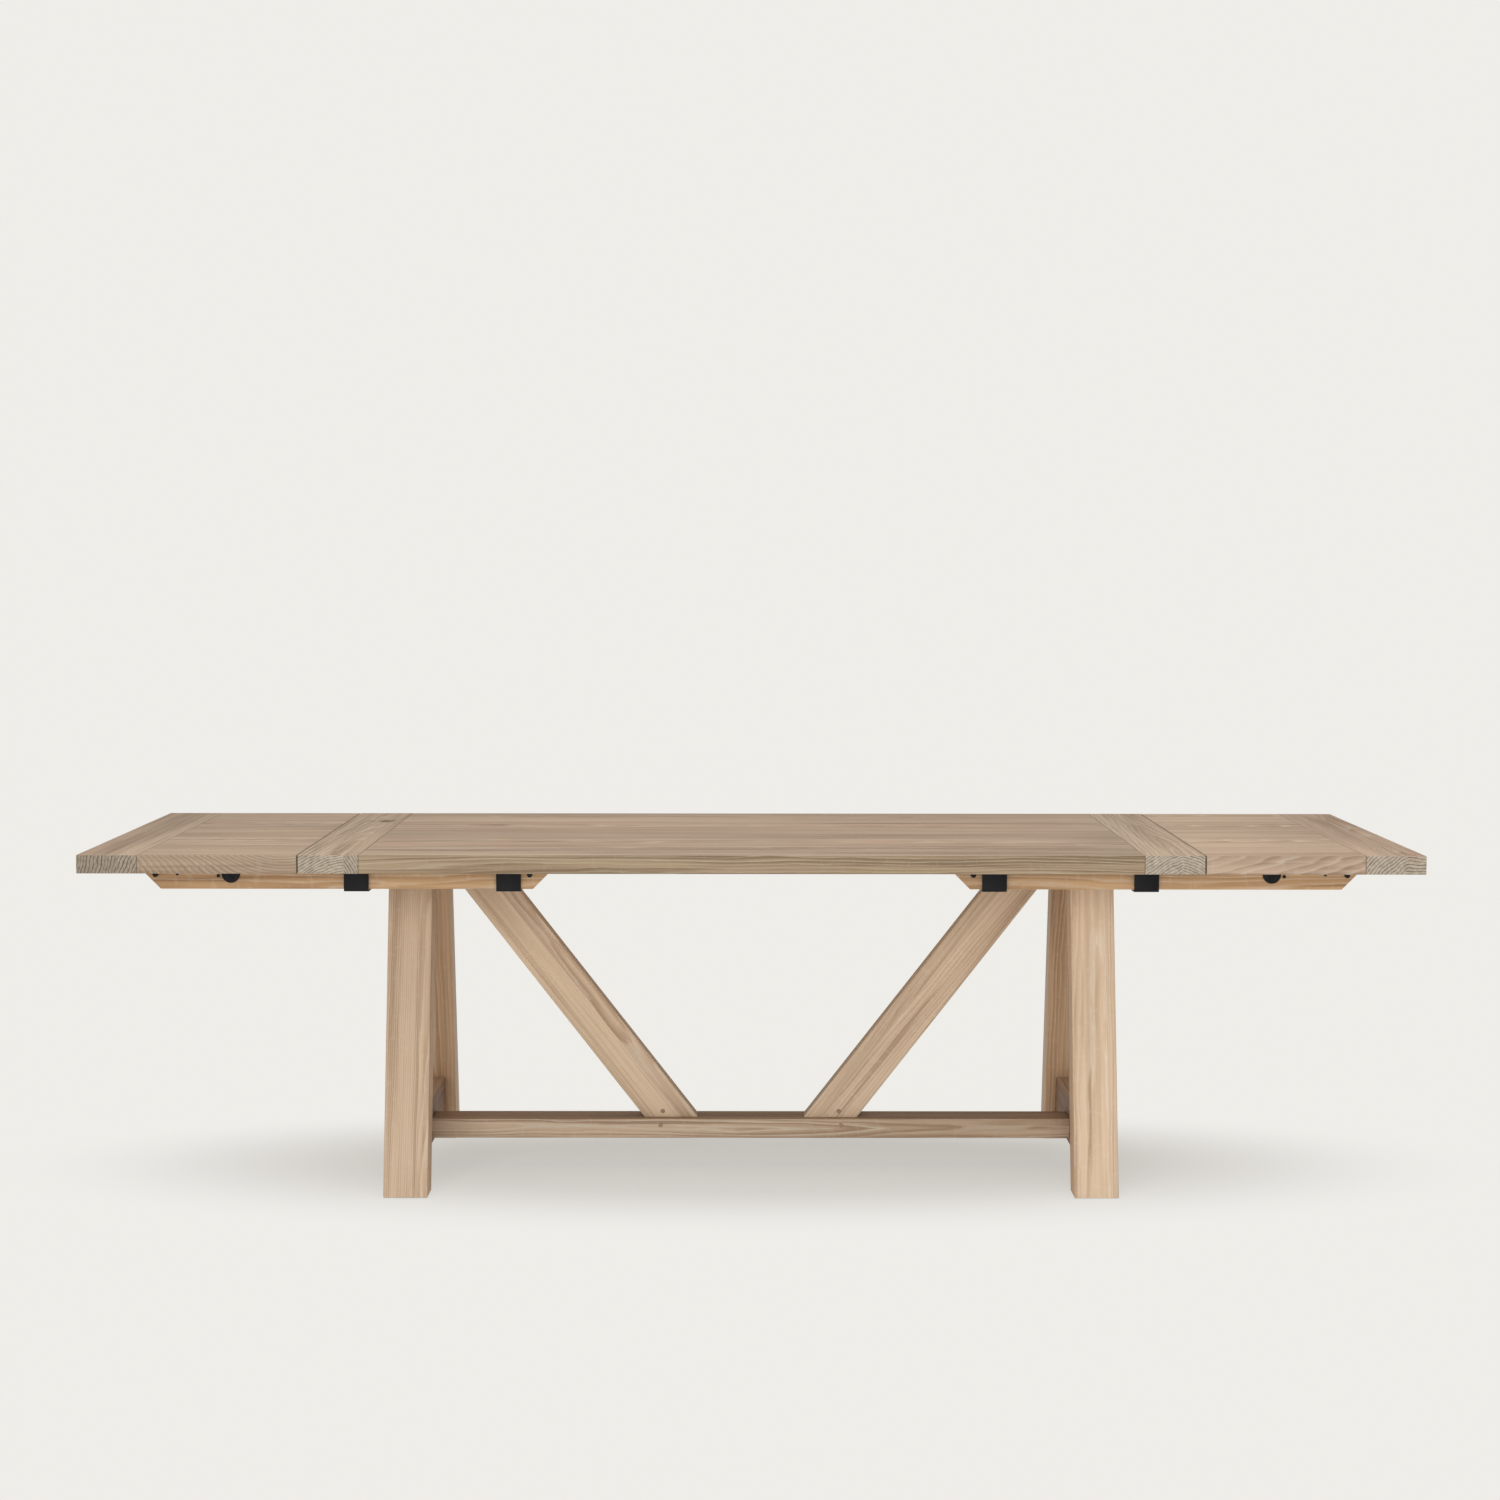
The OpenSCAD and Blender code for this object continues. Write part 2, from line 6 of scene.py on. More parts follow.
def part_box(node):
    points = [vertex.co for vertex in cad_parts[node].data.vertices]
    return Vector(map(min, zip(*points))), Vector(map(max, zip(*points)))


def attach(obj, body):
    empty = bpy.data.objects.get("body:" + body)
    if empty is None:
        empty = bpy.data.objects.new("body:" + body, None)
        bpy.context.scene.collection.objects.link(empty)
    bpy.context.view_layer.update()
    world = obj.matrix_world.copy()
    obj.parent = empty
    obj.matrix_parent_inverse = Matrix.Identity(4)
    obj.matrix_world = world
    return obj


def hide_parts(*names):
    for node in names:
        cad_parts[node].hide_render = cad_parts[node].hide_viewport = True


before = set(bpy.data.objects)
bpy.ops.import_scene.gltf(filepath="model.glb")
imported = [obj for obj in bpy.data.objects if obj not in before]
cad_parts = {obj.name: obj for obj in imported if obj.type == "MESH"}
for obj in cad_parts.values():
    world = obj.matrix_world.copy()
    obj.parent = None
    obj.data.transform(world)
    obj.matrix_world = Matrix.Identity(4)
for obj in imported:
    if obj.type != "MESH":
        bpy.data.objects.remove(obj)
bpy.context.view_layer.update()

corners = ["front_left", "front_right", "rear_left", "rear_right"]
sides = ["left", "right"]
xAxis = Vector((1, 0, 0))
yAxis = Vector((0, 1, 0))
zAxis = Vector((0, 0, 1))

# main faces of the table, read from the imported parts
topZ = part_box("left_main_end_board")[1].z
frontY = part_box("left_main_end_board")[0].y
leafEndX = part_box("right_leaf_end_board")[1].x


def signOf(name):
    return -1 if "left" in name else 1


def depthSignOf(name):
    return -1 if "front" in name else 1


def centreOf(name):
    low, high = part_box(name)
    return (low + high) / 2


def pickOnly(piece):
    bpy.ops.object.select_all(action="DESELECT")
    piece.select_set(True)
    bpy.context.view_layer.objects.active = piece


meshCare = {
    "mergeWithin": 0.00001,
    "flatWithin": math.radians(0.5),
    "facesDown": -0.9,               # a face whose normal's height is below this looks down
    "sharpOver": math.radians(35),   # edges sharper than this are eased
}


# flat faces are made whole before any edge is eased, save those below that are full of screw holes
def copyPart(partName, pieceName, wholeBelow=True):
    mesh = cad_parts[partName].data.copy()
    piece = bpy.data.objects.new(pieceName, mesh)
    bpy.context.scene.collection.objects.link(piece)
    pickOnly(piece)
    bpy.ops.mesh.customdata_custom_splitnormals_clear()
    bpy.ops.object.mode_set(mode="EDIT")
    bpy.ops.mesh.select_all(action="SELECT")
    bpy.ops.mesh.remove_doubles(threshold=meshCare["mergeWithin"])
    bpy.ops.mesh.beautify_fill(angle_limit=meshCare["flatWithin"])
    if not wholeBelow:
        bpy.ops.mesh.select_all(action="DESELECT")
        bpy.context.tool_settings.mesh_select_mode = (False, False, True)
        bpy.ops.object.mode_set(mode="OBJECT")
        for face in mesh.polygons:
            face.select = face.normal.z > meshCare["facesDown"]
        bpy.ops.object.mode_set(mode="EDIT")
    bpy.ops.mesh.dissolve_limited(angle_limit=meshCare["flatWithin"])
    bpy.ops.object.mode_set(mode="OBJECT")
    return piece


def sharpEdges(mesh):
    normals = {}
    for face in mesh.polygons:
        for key in face.edge_keys:
            normals.setdefault(key, []).append(face.normal.copy())
    found = []
    for edge in mesh.edges:
        pair = normals.get(tuple(sorted(edge.vertices)), [])
        if len(pair) == 2 and pair[0].angle(pair[1], 0) > meshCare["sharpOver"]:
            found.append(edge)
    return found


# rounds the edges that pass the test, which gets the edge's two ends
def easeEdges(piece, width, segments, test=None, minLength=0.0):
    mesh = piece.data
    for group in (mesh.vertices, mesh.edges, mesh.polygons):
        group.foreach_set("select", [False] * len(group))
    count = 0
    for edge in sharpEdges(mesh):
        a, b = (mesh.vertices[i].co for i in edge.vertices)
        if (b - a).length < minLength or (test and not test(a, b)):
            continue
        edge.select = True
        for i in edge.vertices:
            mesh.vertices[i].select = True
        count += 1
    if count == 0:
        return
    pickOnly(piece)
    bpy.context.tool_settings.mesh_select_mode = (False, True, False)
    bpy.ops.object.mode_set(mode="EDIT")
    bpy.ops.mesh.bevel(offset=width, segments=segments, profile=0.5, affect="EDGES", clamp_overlap=True)
    bpy.ops.object.mode_set(mode="OBJECT")


def finishPiece(piece, body, parts, material, smoothAngle=30):
    pickOnly(piece)
    bpy.ops.object.shade_smooth_by_angle(angle=math.radians(smoothAngle))
    piece.data.materials.clear()
    piece.data.materials.append(material)
    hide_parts(*parts)
    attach(piece, body)


def camelName(partName):
    words = partName.split("_")
    return words[0] + "".join(word.capitalize() for word in words[1:])


def addNode(tree, kind, **settings):
    node = tree.nodes.new(kind)
    for key, value in settings.items():
        setattr(node, key, value)
    return node


def feed(tree, socket, value):
    if isinstance(value, bpy.types.NodeSocket):
        tree.links.new(value, socket)
    else:
        socket.default_value = value


def calc(tree, operation, a, b=0.0, clamp=False):
    node = addNode(tree, "ShaderNodeMath", operation=operation, use_clamp=clamp)
    feed(tree, node.inputs[0], a)
    feed(tree, node.inputs[1], b)
    return node.outputs[0]


def vectorCalc(tree, operation, a, b):
    node = addNode(tree, "ShaderNodeVectorMath", operation=operation)
    feed(tree, node.inputs[0], a)
    feed(tree, node.inputs[1], b)
    return node.outputs[0]


def mixColor(tree, factor, a, b, blendType="MIX"):
    node = addNode(tree, "ShaderNodeMix", data_type="RGBA", blend_type=blendType)
    feed(tree, node.inputs[0], factor)
    feed(tree, node.inputs[6], a)
    feed(tree, node.inputs[7], b)
    return node.outputs[2]


def noise(tree, vector, scale, detail=2.0, roughness=0.5):
    node = addNode(tree, "ShaderNodeTexNoise")
    feed(tree, node.inputs["Vector"], vector)
    node.inputs["Scale"].default_value = scale
    node.inputs["Detail"].default_value = detail
    node.inputs["Roughness"].default_value = roughness
    return node.outputs["Fac"]


# ramp of a value from one range to another, eased or straight, held at its ends
def rangeOf(tree, value, low, high, outLow=0.0, outHigh=1.0, smooth=True):
    kind = "SMOOTHSTEP" if smooth else "LINEAR"
    node = addNode(tree, "ShaderNodeMapRange", interpolation_type=kind)
    feed(tree, node.inputs["Value"], value)
    node.inputs["From Min"].default_value = low
    node.inputs["From Max"].default_value = high
    node.inputs["To Min"].default_value = outLow
    node.inputs["To Max"].default_value = outHigh
    return node.outputs["Result"]


oakLook = {
    "ringWidth": 0.0046,       # one year's growth, in metres
    "wobble": 0.009,           # how far the rings wander from straight
    "lime": 0.75,              # white left in the open early wood
    "ringDepth": 0.38,         # how dark the late wood is
    "earlyWood": (0.0, 0.10, 0.18, 0.38),   # where in a ring it rises and falls
    "lateWood": (0.40, 0.90, 0.93, 1.0),
    "band": 2.10,              # broad bands along the grain
    "streak": 1.10,            # narrow streaks along the grain
    "mineral": 0.58,           # thin dark streaks here and there
    "blotch": 0.40,            # slow change of tone along a board
    "flecks": 0.10,            # silvery ray flecks
    "ringSwing": 2.2,          # rings' drift along and across the board, in rings
    "fray": 0.9,               # fine fraying of the rings, in rings
    "depth": 0.23,             # tone of the plain wood between pale and dark
    "endDepth": 0.16,          # the same on end grain
    "endCloud": 1.3,           # unevenness of end grain
    "knot": 0.85,
    "roughness": 0.60,
    "roughSwing": 0.18,
    "poreRough": 0.2,
    "specular": 0.35,
    "bump": 0.00035,
    "bumpStrength": 0.8,
}
# noises in the wood: stretch along, across and up the board, scale, detail, roughness
oakNoise = {
    "sway": ((0.30, 1, 1), 5.5, 2.5, 0.5),
    "ringSwing": ((0.6, 8, 8), 3.0, 2.0, 0.5),
    "fray": ((0.12, 1, 1), 60.0, 2.0, 0.6),
    "fine": ((0.035, 1, 1), 950.0, 2.0, 0.6),
    "streak": ((0.022, 1, 1), 110.0, 3.0, 0.65),
    "band": ((0.035, 1, 1), 30.0, 3.0, 0.62),
    "blotch": ((1, 1, 1), 3.2, 2.0, 0.5),
    "fleck": ((0.35, 1, 0.12), 240.0, 1.0, 0.4),
    "mineral": ((0.028, 1, 1), 52.0, 2.0, 0.55),
    "cloudy": ((1, 1, 1), 110.0, 3.0, 0.6),
    "rosy": ((0.2, 1, 1), 9.0, 2.0, 0.5),
}
# colours of each cut: its pale and dark wood, and the same on its end grain
oakTones = {
    "top": {"light": (0.590, 0.440, 0.318, 1), "dark": (0.330, 0.224, 0.150, 1),
            "endLight": (0.48, 0.412, 0.325, 1), "endDark": (0.130, 0.094, 0.070, 1)},
    "trestle": {"light": (0.65, 0.482, 0.342, 1), "dark": (0.40, 0.268, 0.170, 1),
                "endLight": (0.42, 0.33, 0.24, 1), "endDark": (0.20, 0.145, 0.10, 1)},
    "runner": {"light": (0.560, 0.358, 0.193, 1), "dark": (0.295, 0.166, 0.080, 1),
               "endLight": (0.42, 0.31, 0.20, 1), "endDark": (0.20, 0.135, 0.085, 1)},
    "peg": {"light": (0.36, 0.24, 0.15, 1), "dark": (0.22, 0.135, 0.08, 1),
            "endLight": (0.36, 0.25, 0.165, 1), "endDark": (0.19, 0.125, 0.08, 1)},
}
limeColor = (0.74, 0.645, 0.52, 1)
knotColor = (0.075, 0.046, 0.028, 1)
rosyTint = (1.0, 0.90, 0.86, 1)
# colour and width of the painted shade in the seams between boards
seamShadeColor = (0.10, 0.07, 0.05, 1)
seamShadeWidth = 0.0020


# Oak cut from a log: rings round a pith line that runs along the board, a little off its middle.
# pith is the log's centre from the board's centre and tilt the slope of the board in the log.
# strips are glued side by side in one board: where each starts, on which axis, and its tint.
# seams paint shade as a dark line at a place on an axis, where the gaps between boards fall. The face
# tint is painted shade: it darkens the faces that look along one way, on both sides of the board or,
# with a third value, on the near side only.
def makeOak(name, tone, centre, grain=xAxis, pith=(0.03, -0.08), tilt=(0.0, 0.0), seed=0, rings=1.0,
            shade=1.0, contrast=1.0, knots=(), strips=None, seams=(), faceTint=None, pink=0.0):
    material = bpy.data.materials.new("oak " + name)
    material.use_nodes = True
    tree = material.node_tree
    shader = tree.nodes["Principled BSDF"]
    look = oakLook
    colors = oakTones[tone]

    turn = Vector(grain).rotation_difference(xAxis).to_matrix()
    coords = addNode(tree, "ShaderNodeTexCoord")
    place = addNode(tree, "ShaderNodeMapping", vector_type="POINT")
    place.inputs["Rotation"].default_value = turn.to_euler()
    place.inputs["Location"].default_value = -(turn @ Vector(centre))
    tree.links.new(coords.outputs["Object"], place.inputs["Vector"])
    local = place.outputs["Vector"]
    boardPoint = local
    apart = addNode(tree, "ShaderNodeSeparateXYZ")
    tree.links.new(local, apart.inputs[0])

    # each glued strip comes from another place in the log
    tinted = []
    if strips:
        count = None
        for start, tint in strips["cuts"]:
            past = calc(tree, "GREATER_THAN", apart.outputs[strips["axis"]], start)
            tinted.append((past, tint))
            count = past if count is None else calc(tree, "ADD", count, past)
        jump = addNode(tree, "ShaderNodeCombineXYZ")
        for axis, step in zip("XYZ", (0.83,) + strips["shift"]):
            feed(tree, jump.inputs[axis], calc(tree, "MULTIPLY", count, step))
        local = vectorCalc(tree, "ADD", local, jump.outputs[0])

    seeded = vectorCalc(tree, "ADD", local, (seed * 1.37, seed * 0.61, seed * 0.23))

    def grainNoise(kind):
        stretch, scale, detail, roughness = oakNoise[kind]
        return noise(tree, vectorCalc(tree, "MULTIPLY", seeded, stretch), scale, detail, roughness)

    def swing(value, amount):
        return calc(tree, "MULTIPLY", calc(tree, "SUBTRACT", value, 0.5), amount)

    # end grain faces point along the grain
    def facesAlong(way, oneSided=False):
        facing = addNode(tree, "ShaderNodeVectorMath", operation="DOT_PRODUCT")
        tree.links.new(coords.outputs["Normal"], facing.inputs[0])
        facing.inputs[1].default_value = Vector(way).normalized()
        turned = facing.outputs["Value"]
        return rangeOf(tree, turned if oneSided else calc(tree, "ABSOLUTE", turned), 0.55, 0.8)

    endFace = facesAlong(grain)
    sideFace = calc(tree, "SUBTRACT", 1.0, endFace)

    # the colour output of a noise sways the board across and up on its own
    slow = grainNoise("sway").node
    sway = vectorCalc(tree, "SUBTRACT", slow.outputs["Color"], (0.5, 0.5, 0.5))
    sway = vectorCalc(tree, "MULTIPLY", sway, (0, look["wobble"] * 2, look["wobble"] * 2))
    swayed = vectorCalc(tree, "ADD", local, sway)

    parts = addNode(tree, "ShaderNodeSeparateXYZ")
    tree.links.new(swayed, parts.inputs[0])
    along, across, up = parts.outputs
    y, z = (calc(tree, "SUBTRACT", calc(tree, "ADD", way, calc(tree, "MULTIPLY", along, slope)), middle)
            for way, slope, middle in zip((across, up), tilt, pith))
    squares = calc(tree, "ADD", calc(tree, "MULTIPLY", y, y), calc(tree, "MULTIPLY", z, z))
    radius = calc(tree, "SQRT", squares)

    # the grain swells round a knot, and the knot itself is dark
    knotMask = None
    for spot, size in knots:
        away = vectorCalc(tree, "SUBTRACT", boardPoint, spot)
        away = vectorCalc(tree, "MULTIPLY", away, (0.6, 1, 0.3))
        far = addNode(tree, "ShaderNodeVectorMath", operation="LENGTH")
        tree.links.new(away, far.inputs[0])
        swell = rangeOf(tree, far.outputs["Value"], 0.0, size * 4, size * 1.3, 0.0)
        radius = calc(tree, "ADD", radius, swell)
        ragged = calc(tree, "ADD", far.outputs["Value"],
                      calc(tree, "MULTIPLY", noise(tree, boardPoint, 170.0, 2.0), size * 0.7))
        dark = rangeOf(tree, ragged, size * 0.5, size * 2.2, 1.0, 0.0)
        knotMask = dark if knotMask is None else calc(tree, "MAXIMUM", knotMask, dark)

    # pale open early wood, then dense late wood, in rings that differ from year to year
    ringCount = calc(tree, "DIVIDE", radius, look["ringWidth"] * rings)
    ringCount = calc(tree, "ADD", ringCount, swing(grainNoise("ringSwing"), look["ringSwing"]))
    fray = calc(tree, "MULTIPLY", swing(grainNoise("fray"), look["fray"]), sideFace)
    ringCount = calc(tree, "ADD", ringCount, fray)
    ringPart = calc(tree, "FRACT", ringCount)
    ringYear = addNode(tree, "ShaderNodeTexWhiteNoise", noise_dimensions="1D")
    tree.links.new(calc(tree, "FLOOR", ringCount), ringYear.inputs["W"])
    year = ringYear.outputs["Value"]
    early, late = (calc(tree, "MULTIPLY", rangeOf(tree, ringPart, riseFrom, riseTo),
                        rangeOf(tree, ringPart, fallFrom, fallTo, 1.0, 0.0))
                   for riseFrom, riseTo, fallFrom, fallTo in (look["earlyWood"], look["lateWood"]))

    fine = grainNoise("fine")
    pores = calc(tree, "MULTIPLY", rangeOf(tree, fine, 0.50, 0.62), early)
    streak = grainNoise("streak")
    band = grainNoise("band")
    blotch = grainNoise("blotch")
    fleck = grainNoise("fleck")

    ringTone = calc(tree, "MULTIPLY", late, calc(tree, "ADD", calc(tree, "MULTIPLY", year, 0.9), 0.4))
    ringTone = calc(tree, "MULTIPLY", ringTone, look["ringDepth"] * contrast)
    flow = calc(tree, "ADD", swing(streak, look["streak"] * contrast),
                swing(band, look["band"] * contrast))
    depth = calc(tree, "ADD", ringTone, calc(tree, "MULTIPLY", flow, sideFace))
    mineral = rangeOf(tree, grainNoise("mineral"), 0.56, 0.74)
    veins = calc(tree, "MULTIPLY", mineral,
                 calc(tree, "MULTIPLY", sideFace, look["mineral"] * contrast))
    depth = calc(tree, "ADD", depth, veins)
    depth = calc(tree, "ADD", depth, swing(blotch, look["blotch"]))
    depth = calc(tree, "ADD", depth, look["depth"], clamp=True)
    color = mixColor(tree, depth, colors["light"], colors["dark"])
    opened = calc(tree, "MULTIPLY", early, calc(tree, "ADD", calc(tree, "MULTIPLY", pores, 0.6), 0.4))
    opened = calc(tree, "MULTIPLY", opened, calc(tree, "ADD", calc(tree, "MULTIPLY", year, 0.7), 0.45))
    color = mixColor(tree, calc(tree, "MULTIPLY", opened, look["lime"] * contrast), color, limeColor)
    color = mixColor(tree, calc(tree, "MULTIPLY", rangeOf(tree, fleck, 0.60, 0.70), look["flecks"]),
                     color, limeColor)
    cloudy = swing(grainNoise("cloudy"), look["endCloud"])
    endRing = calc(tree, "ADD", calc(tree, "MULTIPLY", year, 0.5), 0.5)
    endTone = calc(tree, "ADD", calc(tree, "MULTIPLY", early, endRing),
                   calc(tree, "ADD", cloudy, look["endDepth"]), clamp=True)
    endColor = mixColor(tree, endTone, colors["endLight"], colors["endDark"])
    color = mixColor(tree, endFace, color, endColor)
    if pink:
        rosy = rangeOf(tree, grainNoise("rosy"), 0.4, 0.7)
        color = mixColor(tree, calc(tree, "MULTIPLY", rosy, pink), color, rosyTint, "MULTIPLY")
    for past, tint in tinted:
        color = mixColor(tree, past, color, mixColor(tree, 1.0, color, tint, "MULTIPLY"))
    # painted shade on the faces that look along one way
    if faceTint:
        way, tint, *oneSided = faceTint
        faced = facesAlong(way, bool(oneSided))
        color = mixColor(tree, faced, color, mixColor(tree, 1.0, color, tint, "MULTIPLY"))
    # painted shade in the seams between boards
    for axis, spot, dark in seams:
        gapAway = calc(tree, "ABSOLUTE", calc(tree, "SUBTRACT", apart.outputs[axis], spot))
        line = rangeOf(tree, gapAway, seamShadeWidth / 4, seamShadeWidth, dark, 0.0)
        color = mixColor(tree, line, color, seamShadeColor)
    if shade != 1.0:
        color = mixColor(tree, 1.0, color, (shade, shade, shade, 1), "MULTIPLY")
    if knotMask is not None:
        color = mixColor(tree, calc(tree, "MULTIPLY", knotMask, look["knot"]), color, knotColor)
    tree.links.new(color, shader.inputs["Base Color"])

    rough = calc(tree, "ADD", look["roughness"], calc(tree, "MULTIPLY", pores, look["poreRough"]))
    rough = calc(tree, "ADD", rough, swing(streak, look["roughSwing"]))
    tree.links.new(rough, shader.inputs["Roughness"])
    height = calc(tree, "SUBTRACT", calc(tree, "MULTIPLY", fine, 0.35),
                  calc(tree, "MULTIPLY", pores, 0.8))
    height = calc(tree, "ADD", height, calc(tree, "MULTIPLY", late, 0.35))
    bump = addNode(tree, "ShaderNodeBump")
    bump.inputs["Strength"].default_value = look["bumpStrength"]
    bump.inputs["Distance"].default_value = look["bump"]
    tree.links.new(height, bump.inputs["Height"])
    tree.links.new(bump.outputs["Normal"], shader.inputs["Normal"])
    shader.inputs["Specular IOR Level"].default_value = look["specular"]
    return material


# smooth coats and plastics: cloudLift is how much paler the coat gets in clouds
coatLook = {"cloudScale": 38.0, "cloudLift": 1.35, "scuffScale": 160.0, "scuff": 0.35,
            "smoother": 0.06, "rougher": 0.10, "bumpStrength": 0.5}


def makeCoated(name, color, roughness, metallic, speckle, bumpDepth, worn=None, specular=None):
    material = bpy.data.materials.new(name)
    material.use_nodes = True
    tree = material.node_tree
    shader = tree.nodes["Principled BSDF"]
    coords = addNode(tree, "ShaderNodeTexCoord").outputs["Object"]
    speckles = noise(tree, coords, speckle, 3.0, 0.6)
    cloud = noise(tree, coords, coatLook["cloudScale"], 3.0, 0.55)
    paler = tuple(c * coatLook["cloudLift"] for c in color[:3]) + (1,)
    base = mixColor(tree, rangeOf(tree, cloud, 0.35, 0.7), color, paler)
    if worn:
        stretched = vectorCalc(tree, "MULTIPLY", coords, (1, 6, 6))
        scuff = rangeOf(tree, noise(tree, stretched, coatLook["scuffScale"], 2.0, 0.7), 0.66, 0.76)
        base = mixColor(tree, calc(tree, "MULTIPLY", scuff, coatLook["scuff"]), base, worn)
    tree.links.new(base, shader.inputs["Base Color"])
    rough = rangeOf(tree, speckles, 0.3, 0.7, roughness - coatLook["smoother"],
                    roughness + coatLook["rougher"], smooth=False)
    tree.links.new(rough, shader.inputs["Roughness"])
    shader.inputs["Metallic"].default_value = metallic
    if specular is not None:
        shader.inputs["Specular IOR Level"].default_value = specular
    bump = addNode(tree, "ShaderNodeBump")
    bump.inputs["Strength"].default_value = coatLook["bumpStrength"]
    bump.inputs["Distance"].default_value = bumpDepth
    tree.links.new(speckles, bump.inputs["Height"])
    tree.links.new(bump.outputs["Normal"], shader.inputs["Normal"])
    return material


blackCoat = makeCoated("satin black coat", (0.0060, 0.0060, 0.0072, 1), 0.46, 0.0, 2400.0, 0.00006,
                       worn=(0.03, 0.03, 0.032, 1), specular=0.17)
zincPlate = makeCoated("zinc plate", (0.46, 0.47, 0.49, 1), 0.34, 1.0, 1500.0, 0.00003)
slickPlastic = makeCoated("pale nylon", (0.66, 0.65, 0.60, 1), 0.50, 0.0, 1100.0, 0.00004)
print("materials for metal and plastic ready")


# how far edges are eased, and the shortest edge that is
easing = {"outer": 0.0014, "crossSeam": 0.0007, "seam": 0.0003, "trestle": 0.0020, "runner": 0.0014,
          "peg": 0.0008, "segments": 3}
shortest = {"boardEdge": 0.02, "seam": 0.05, "timber": 0.012}


def near(value, target, slack=0.0002):
    return abs(abs(value) - target) < slack


def onOuterEdge(a, b):
    onLongSide = near(a.y, -frontY) and near(b.y, -frontY)
    return onLongSide or (near(a.x, leafEndX) and near(b.x, leafEndX))


def onFaceSeam(a, b):
    return near(a.z, topZ) and near(b.z, topZ) and not onOuterEdge(a, b)


def onCrossSeam(a, b):
    return onFaceSeam(a, b) and abs(a.x - b.x) < 0.0001


# boards of the main top and the leaves, front to rear: place in the log, slope in it, tone, and on the
# front boards painted shade on their long edges
mainBoards = [
    {"pith": (0.10, -0.10), "tilt": (0.006, 0.012), "shade": 0.98, "contrast": 1.9, "pink": 0.1,
     "rings": 0.75, "faceTint": (yAxis, (0.83, 0.82, 0.72, 1))},
    {"pith": (0.03, -0.13), "tilt": (0.010, 0.020), "shade": 1.04, "contrast": 1.0, "pink": 0.5},
    {"pith": (-0.20, 0.02), "tilt": (0.008, 0.010), "shade": 0.93, "contrast": 1.1, "pink": 0.3},
    {"pith": (0.02, -0.07), "tilt": (0.012, 0.028), "shade": 1.03, "contrast": 1.1, "pink": 0.5},
    {"pith": (0.16, -0.04), "tilt": (0.006, 0.012), "shade": 1.09, "contrast": 1.0, "pink": 0.1},
    {"pith": (-0.05, -0.09), "tilt": (0.010, 0.022), "shade": 0.95, "contrast": 1.1, "pink": 0.6},
]
leafBoards = {
    "left": [
        {"pith": (-0.1625, 0.050), "tilt": (-0.45, 0.02), "shade": 1.06, "contrast": 0.95, "pink": 0.1,
         "rings": 1.25, "faceTint": (yAxis, (0.94, 0.95, 0.93, 1))},
        {"pith": (0.04, -0.11), "tilt": (0.02, 0.04), "shade": 1.13, "contrast": 1.1, "pink": 0.2},
        {"pith": (-0.18, 0.01), "tilt": (0.01, 0.02), "shade": 1.04, "contrast": 1.1, "pink": 0.5},
        {"pith": (0.02, -0.08), "tilt": (0.02, 0.05), "shade": 1.02, "contrast": 1.2, "pink": 0.7},
        {"pith": (0.10, -0.06), "tilt": (0.01, 0.03), "shade": 1.08, "contrast": 1.1, "pink": 0.3},
    ],
    "right": [
        {"pith": (-0.24, -0.085), "tilt": (-0.10, -0.15), "shade": 1.16, "contrast": 1.0, "pink": 0.3,
         "rings": 2.0, "faceTint": (yAxis, (0.99, 1.0, 1.03, 1))},
        {"pith": (0.03, -0.10), "tilt": (0.03, 0.05), "shade": 1.21, "contrast": 1.2, "pink": 0.2},
        {"pith": (0.15, 0.02), "tilt": (0.01, 0.02), "shade": 1.12, "contrast": 1.2, "pink": 0.5},
        {"pith": (-0.02, -0.09), "tilt": (0.02, 0.04), "shade": 1.10, "contrast": 1.3, "pink": 0.5},
        {"pith": (0.05, -0.07), "tilt": (0.02, 0.03), "shade": 1.21, "contrast": 1.1, "pink": 0.1},
    ],
}
# the left end boards get painted shade on their front and back end faces
endBoards = {
    "left_main_end_board": {
        "pith": (0.11, -0.10), "tilt": (0.01, 0.02), "shade": 0.97, "contrast": 0.9, "pink": 0.1,
        "rings": 1.2, "faceTint": (yAxis, (0.93, 0.92, 0.90, 1)),
        "strips": {"axis": "Y", "cuts": [(-0.034, (1.09, 1.11, 1.11, 1))], "shift": (0.16, 0.05)},
        "knots": [((0.278, -0.026, 0.02), 0.014), ((0.292, -0.041, 0.018), 0.006)]},
    "right_main_end_board": {
        "pith": (0.02, -0.16), "tilt": (0.01, 0.02), "shade": 1.03, "contrast": 0.9, "pink": 0.1,
        "rings": 1.3,
        "strips": {"axis": "Y", "cuts": [(-0.017, (0.98, 1.0, 1.01, 1))], "shift": (0.20, 0.16)}},
    "left_leaf_end_board": {
        "pith": (0.16, 0.06), "tilt": (0.01, 0.02), "shade": 1.0, "contrast": 1.0, "pink": 0.3,
        "rings": 1.5, "faceTint": (yAxis, (0.76, 0.74, 0.73, 1)),
        "strips": {"axis": "Y", "cuts": [(-0.022, (0.93, 0.92, 0.92, 1))], "shift": (-0.28, -0.02)}},
    "right_leaf_end_board": {
        "pith": (-0.05, -0.12), "tilt": (0.01, 0.02), "shade": 1.05, "contrast": 0.9, "pink": 0.5,
        "rings": 1.4,
        "strips": {"axis": "Y", "cuts": [(-0.02, (0.98, 0.97, 0.98, 1))], "shift": (0.12, 0.08)}},
}


# how much painted shade darkens the seams along a board, at its ends and beside an end board
seamShade = {"along": 0.30, "end": 0.42, "endBoard": 0.48}
